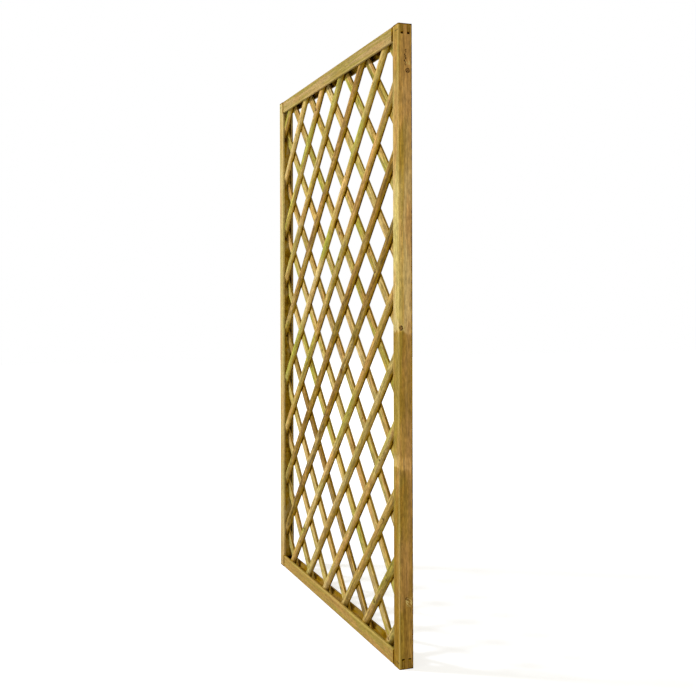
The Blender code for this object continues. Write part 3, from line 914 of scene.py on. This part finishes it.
def make_lath_tree():
    """Sweep the section along a slightly wandering strip, and trim it to the field inside the grooves."""
    inputs = [
        ("Section", "NodeSocketObject", None),
        ("Start", "NodeSocketFloat", None),
        ("End", "NodeSocketFloat", None),
        ("Angle", "NodeSocketFloat", None),
        ("Height", "NodeSocketFloat", None),
        ("Facing", "NodeSocketFloat", None),
        ("Step", "NodeSocketFloat", LATH_STEP),
        ("Wander", "NodeSocketFloat", LATH_WANDER),
        ("Lean", "NodeSocketFloat", LATH_LEAN),
        ("Gap", "NodeSocketFloat", LATH_GAP),
        ("Half Width", "NodeSocketFloat", FIELD_HALF_WIDTH),
        ("Low", "NodeSocketFloat", FIELD_INSET),
        ("High", "NodeSocketFloat", FIELD_INSET + FIELD_HEIGHT),
        ("Lath", "NodeSocketVector", None),
        ("Knot A", "NodeSocketVector", None),
        ("Knot B", "NodeSocketVector", None),
        ("Wood", "NodeSocketMaterial", None),
    ]
    group, given, set_outputs = new_group("lath", "GeometryNodeTree", inputs,
                                          [("Geometry", "NodeSocketGeometry")])
    number = split(given["Lath"])[0]
    line = add_node(group, "GeometryNodeCurvePrimitiveLine", {
        "Start": join(group, given["Start"], 0.0, 0.0), "End": join(group, given["End"], 0.0, 0.0)})
    even = add_node(group, "GeometryNodeResampleCurve", {"Curve": line, "Length": given["Step"]},
                    mode="LENGTH")
    place = out(group, add_node(group, "GeometryNodeInputPosition"))
    along, across, deep = split(place)
    wander = noise(join(group, along * WANDER_CYCLES, number * 5.3, 0.0), 1.0) - 0.5
    lean = noise(join(group, along * LEAN_CYCLES, number * 2.9, 8.0), 1.0) - 0.5
    offset = join(group, 0.0, wander * given["Wander"], lean.apply("ABSOLUTE") * given["Lean"])
    bent = add_node(group, "GeometryNodeSetPosition", {"Geometry": even, "Offset": offset})
    upright = add_node(group, "GeometryNodeSetCurveNormal", {"Curve": bent}, mode="Z_UP")
    section = add_node(group, "GeometryNodeObjectInfo", {"Object": given["Section"]})
    swept = add_node(group, "GeometryNodeCurveToMesh", {
        "Curve": upright, "Profile Curve": out(group, section, "Geometry"), "Fill Caps": True})

    # Trim: slide each point along the lath until it lies inside the field
    sine = given["Angle"].apply("SINE")
    cosine = given["Angle"].apply("COSINE")
    left = (across * sine - given["Half Width"]) / cosine
    right = (across * sine + given["Half Width"]) / cosine
    base = given["Height"] + across * cosine
    to_low = (given["Low"] - base) / sine
    to_high = (given["High"] - base) / sine
    first = strongest(left, to_low.apply("MINIMUM", to_high))
    last = right.apply("MINIMUM", strongest(to_low, to_high))
    inside = join(group, strongest(along, first).apply("MINIMUM", last), across, deep)
    trimmed = add_node(group, "GeometryNodeSetPosition", {"Geometry": swept, "Position": inside})
    closed = add_node(group, "GeometryNodeMergeByDistance", {"Geometry": trimmed, "Distance": MERGE_DISTANCE})

    stored = closed
    for label, value in (("lay", place), ("lath", given["Lath"]), ("knot_a", given["Knot A"]),
                         ("knot_b", given["Knot B"])):
        stored = add_node(group, "GeometryNodeStoreNamedAttribute", {"Geometry": stored, "Name": label},
                          data_type="FLOAT_VECTOR", domain="POINT")
        feed(group, stored.inputs["Value"], value)

    # Turn the strip into its place: it leans at its angle, and its dome faces the front or the back
    turned = join(group, along * cosine - across * sine, (deep + given["Gap"]) * given["Facing"],
                  given["Height"] + along * sine + across * cosine)
    placed = add_node(group, "GeometryNodeSetPosition", {"Geometry": stored, "Position": turned})
    flip = add_node(group, "FunctionNodeCompare", {0: given["Facing"], 1: 0.0}, operation="GREATER_THAN")
    outward = add_node(group, "GeometryNodeFlipFaces", {"Mesh": placed, "Selection": flip})
    edge_angle = add_node(group, "GeometryNodeInputMeshEdgeAngle")
    gentle = add_node(group, "FunctionNodeCompare", {0: edge_angle, 1: CRISP_ANGLE}, operation="LESS_THAN")
    smooth = add_node(group, "GeometryNodeSetShadeSmooth", {"Geometry": outward}, domain="FACE")
    crisp = add_node(group, "GeometryNodeSetShadeSmooth", {"Geometry": smooth, "Shade Smooth": gentle},
                     domain="EDGE")
    real = add_node(group, "GeometryNodeRealizeInstances", {"Geometry": crisp})
    wood = add_node(group, "GeometryNodeSetMaterial", {"Geometry": real, "Material": given["Wood"]})
    set_outputs(Geometry=wood)
    return group


def grow(name, group, inputs):
    """Run a Geometry Nodes tree with its named inputs, and return the result as a plain mesh object."""
    seed_mesh = bpy.data.meshes.new(name)
    item = bpy.data.objects.new(name, seed_mesh)
    bpy.context.scene.collection.objects.link(item)
    modifier = item.modifiers.new(name, "NODES")
    modifier.node_group = group
    identifiers = {socket.name: socket.identifier for socket in group.interface.items_tree
                   if socket.in_out == "INPUT"}
    for label, value in inputs.items():
        modifier[identifiers[label]] = value
    item.update_tag()
    bpy.context.view_layer.update()
    evaluated = item.evaluated_get(bpy.context.evaluated_depsgraph_get())
    mesh = bpy.data.meshes.new_from_object(evaluated)
    mesh.name = name
    item.modifiers.remove(modifier)
    item.data = mesh
    bpy.data.meshes.remove(seed_mesh)
    return item


def lath_knots(name, middle, half):
    """Return a lath's two knots: those seen on it, or a draw of its own."""
    if name in LATH_KNOTS:
        return LATH_KNOTS[name]
    draw = random.Random(name)
    return [(middle + draw.uniform(-KNOT_REACH_SHARE, KNOT_REACH_SHARE) * half,
             draw.uniform(-KNOT_OFF_MIDDLE, KNOT_OFF_MIDDLE), draw.choice(KNOT_RADII)) for _ in range(2)]


def make_laths(layer, made, wood, section, tree):
    """Make one layer of laths, each in its solid's place."""
    angle = -made["facing"] * LATH_ANGLE
    lowest = LATTICE_MIDDLE - (LATTICE_SPAN - LATH_PITCH) / 2
    for index, (tone, green) in enumerate(made["tones"]):
        name = f"{layer}_lath_{index + 1:02d}"
        low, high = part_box(name)
        middle = (low.x + high.x) / 2 / math.cos(angle)
        half = (high.x - low.x) / 2 / math.cos(angle)
        knot_a, knot_b = lath_knots(name, middle, half)
        lath = grow(f"{name}_wood", tree, {
            "Section": section, "Start": middle - half - LATH_SPARE, "End": middle + half + LATH_SPARE,
            "Angle": angle, "Height": lowest + index * LATH_PITCH, "Facing": made["facing"],
            "Lath": (float(made["before"] + index + 1), tone, green), "Knot A": knot_a, "Knot B": knot_b,
            "Wood": wood})
        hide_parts(name)
        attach(lath, "root")


# Steel nails and crossing pins

def make_steel():
    material, tree, shader = new_material("zinc_plated_steel")
    shader.inputs["Metallic"].default_value = METAL_SHARE
    dull = noise(object_place(tree) * DULL_CYCLES, 3.0)
    colour = blend(step(dull, 0.4, 0.7), STEEL_SHARES, STEEL_DULL_SHARES)
    roughness = step(dull, 0.3, 0.7, 0.6, 0.85)
    finish_surface(tree, shader, colour, roughness, dull, STEEL_RELIEF_SHARE, STEEL_RELIEF)
    return material


def make_pin_tree():
    """Set a pin, head to the front, wherever a front lath crosses a rear lath inside the frame."""
    inputs = [
        ("Pitch", "NodeSocketFloat", LATH_PITCH),
        ("Middle", "NodeSocketFloat", LATTICE_MIDDLE),
        ("Rows", "NodeSocketInt", 2 * LATHS_PER_LAYER + 1),
        ("Half Width", "NodeSocketFloat", HALF_OPENING - PIN_MARGIN),
        ("Low", "NodeSocketFloat", MEMBER_FACE + PIN_MARGIN),
        ("High", "NodeSocketFloat", PANEL_HEIGHT - MEMBER_FACE - PIN_MARGIN),
        ("Front", "NodeSocketFloat", -LATH_GAP - LATH_THICKNESS),
        ("Head Radius", "NodeSocketFloat", PIN_HEAD_RADIUS),
        ("Head Height", "NodeSocketFloat", PIN_HEAD_HEIGHT),
        ("Shank Radius", "NodeSocketFloat", PIN_SHANK_RADIUS),
        ("Length", "NodeSocketFloat", PIN_LENGTH),
        ("Seed", "NodeSocketInt", PIN_SEED),
        ("Steel", "NodeSocketMaterial", None),
    ]
    group, given, set_outputs = new_group("crossing_pins", "GeometryNodeTree", inputs,
                                          [("Geometry", "NodeSocketGeometry")])

    # A square grid turned by the laths' angle has its points where the laths cross
    side = (given["Rows"] - 1.0) * given["Pitch"] * math.cos(LATH_ANGLE)
    grid = add_node(group, "GeometryNodeMeshGrid", {
        "Size X": side, "Size Y": side, "Vertices X": given["Rows"], "Vertices Y": given["Rows"]})
    turned = add_node(group, "GeometryNodeTransform", {"Geometry": grid, "Rotation": (QUARTER, 0.0, 0.0)})
    leaned = add_node(group, "GeometryNodeTransform", {
        "Geometry": turned, "Rotation": (0.0, LATH_ANGLE, 0.0),
        "Translation": join(group, 0.0, given["Front"], given["Middle"])})
    across, _, height = split(out(group, add_node(group, "GeometryNodeInputPosition")))
    beside = across.apply("ABSOLUTE").apply("GREATER_THAN", given["Half Width"])
    below = height.apply("LESS_THAN", given["Low"])
    above = height.apply("GREATER_THAN", given["High"])
    kept = add_node(group, "GeometryNodeDeleteGeometry", {
        "Geometry": leaned, "Selection": beside + below + above}, domain="POINT")
    scatter = add_node(group, "FunctionNodeRandomValue", {
        0: (-PIN_SCATTER, 0.0, -PIN_SCATTER), 1: (PIN_SCATTER, 0.0, PIN_SCATTER), "Seed": given["Seed"]},
        data_type="FLOAT_VECTOR")
    shifted = add_node(group, "GeometryNodeSetPosition", {"Geometry": kept, "Offset": scatter})
    points = add_node(group, "GeometryNodeMeshToPoints", {"Mesh": shifted})

    # One pin: a flattened round head, and a shank that runs back into the rear lath
    ball = add_node(group, "GeometryNodeMeshUVSphere", {
        "Segments": PIN_HEAD_SIDES, "Rings": PIN_HEAD_RINGS, "Radius": 1.0})
    head = add_node(group, "GeometryNodeTransform", {"Geometry": ball, "Rotation": (QUARTER, 0.0, 0.0)})
    pressed = add_node(group, "GeometryNodeTransform", {
        "Geometry": head,
        "Scale": join(group, given["Head Radius"], given["Head Height"], given["Head Radius"])})
    rod = add_node(group, "GeometryNodeMeshCone", {
        "Vertices": PIN_SHANK_SIDES, "Side Segments": 1, "Depth": given["Length"],
        "Radius Top": given["Shank Radius"] * PIN_POINT_SHARE, "Radius Bottom": given["Shank Radius"]})
    shank = add_node(group, "GeometryNodeTransform", {"Geometry": rod, "Rotation": (-QUARTER, 0.0, 0.0)})
    pin = add_node(group, "GeometryNodeJoinGeometry")
    for piece in (pressed, shank):
        feed(group, pin.inputs[0], piece)
    spread = add_node(group, "GeometryNodeInstanceOnPoints", {"Points": points, "Instance": pin})
    real = add_node(group, "GeometryNodeRealizeInstances", {"Geometry": spread})
    smooth = add_node(group, "GeometryNodeSetShadeSmooth", {"Geometry": real})
    steel = add_node(group, "GeometryNodeSetMaterial", {"Geometry": smooth, "Material": given["Steel"]})
    set_outputs(Geometry=steel)
    return group


def make_pins(steel):
    pins = grow("crossing_pins", make_pin_tree(), {"Steel": steel})
    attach(pins, "root")


# Stage

def make_camera():
    camera = bpy.data.cameras.new("camera")
    camera.sensor_width = SENSOR_WIDTH
    camera.lens = SENSOR_WIDTH * FOCAL_PIXELS / IMAGE_SIZE
    camera.shift_y = -(IMAGE_SIZE / 2 - HORIZON_ROW) / IMAGE_SIZE
    item = bpy.data.objects.new("camera", camera)
    item.location = CAMERA_PLACE
    ahead = Vector((-math.cos(CAMERA_TURN), math.sin(CAMERA_TURN), 0))
    turn = ahead.to_track_quat("-Z", "Y").to_matrix().to_4x4() @ Matrix.Rotation(CAMERA_ROLL, 4, "Z")
    item.rotation_euler = turn.to_euler()
    bpy.context.scene.collection.objects.link(item)
    bpy.context.scene.camera = item


def add_lamp(name, place, side, power):
    """Add a square lamp that points at the panel's middle."""
    lamp = bpy.data.lights.new(name, "AREA")
    lamp.shape = "SQUARE"
    lamp.size = side
    lamp.energy = power
    item = bpy.data.objects.new(name, lamp)
    item.location = place
    towards_panel = Vector((0, 0, HALF_HEIGHT)) - Vector(place)
    item.rotation_euler = towards_panel.to_track_quat("-Z", "Y").to_euler()
    bpy.context.scene.collection.objects.link(item)


def seen_white(tree):
    """Return 1 for the rays that see the backdrop: from the camera, in gloss and through glass."""
    path = add_node(tree, "ShaderNodeLightPath")
    labels = ("Is Camera Ray", "Is Glossy Ray", "Is Transmission Ray")
    return strongest(*(out(tree, path, label) for label in labels))


def make_world():
    world = bpy.data.worlds.new("studio")
    world.use_nodes = True
    tree = world.node_tree
    background = tree.nodes["Background"]
    seen = seen_white(tree)
    feed(tree, background.inputs["Color"], blend(seen, FILL_SHARES, WHITE_SHARES))
    feed(tree, background.inputs["Strength"], step(seen, 0.0, 1.0, FILL_STRENGTH_SHARE, 1.0))
    bpy.context.scene.world = world


def make_floor():
    reach = FLOOR_REACH
    mesh = bpy.data.meshes.new("floor")
    corners = [(-reach, -reach, 0), (reach, -reach, 0), (reach, reach, 0), (-reach, reach, 0)]
    mesh.from_pydata(corners, [], [(0, 1, 2, 3)])
    floor = bpy.data.objects.new("floor", mesh)
    bpy.context.scene.collection.objects.link(floor)
    material = bpy.data.materials.new("floor")
    material.use_nodes = True
    tree = material.node_tree
    tree.nodes.remove(tree.nodes["Principled BSDF"])
    diffuse = add_node(tree, "ShaderNodeBsdfDiffuse", {"Color": FLOOR_SHARES})
    x, y, _ = split(object_place(tree))
    glow = add_node(tree, "ShaderNodeEmission", {
        "Color": WHITE_SHARES, "Strength": seen_white(tree) * step(length(x, y), *GLOW_REACH, *GLOW_SHARES)})
    both = add_node(tree, "ShaderNodeAddShader", {0: diffuse, 1: glow})
    feed(tree, tree.nodes["Material Output"].inputs["Surface"], both)
    mesh.materials.append(material)


def build():
    groups = {"knot": make_knot_group(), "mark": make_mark_group(), "tear": make_tear_group(),
              "timber": make_timber_group()}
    steel = make_steel()
    for name, member in MEMBERS.items():
        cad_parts[name].material_slots[0].material = make_member_wood(f"{name}_wood", member, groups)
    for name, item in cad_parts.items():
        if name.endswith("_nail"):
            item.material_slots[0].material = steel

    section = lath_section()
    tree = make_lath_tree()
    for layer, made in LAYERS.items():
        wood = make_lath_wood(f"{layer}_lath_wood", -made["facing"], made["edge_stain_and_shade_share"], groups)
        make_laths(layer, made, wood, section, tree)
    bpy.data.objects.remove(section)
    make_pins(steel)

    make_floor()
    make_world()
    for name, (place, side, power) in LAMPS.items():
        add_lamp(name, place, side, power)
    make_camera()
    scene = bpy.context.scene
    scene.view_settings.view_transform = "Standard"


build()
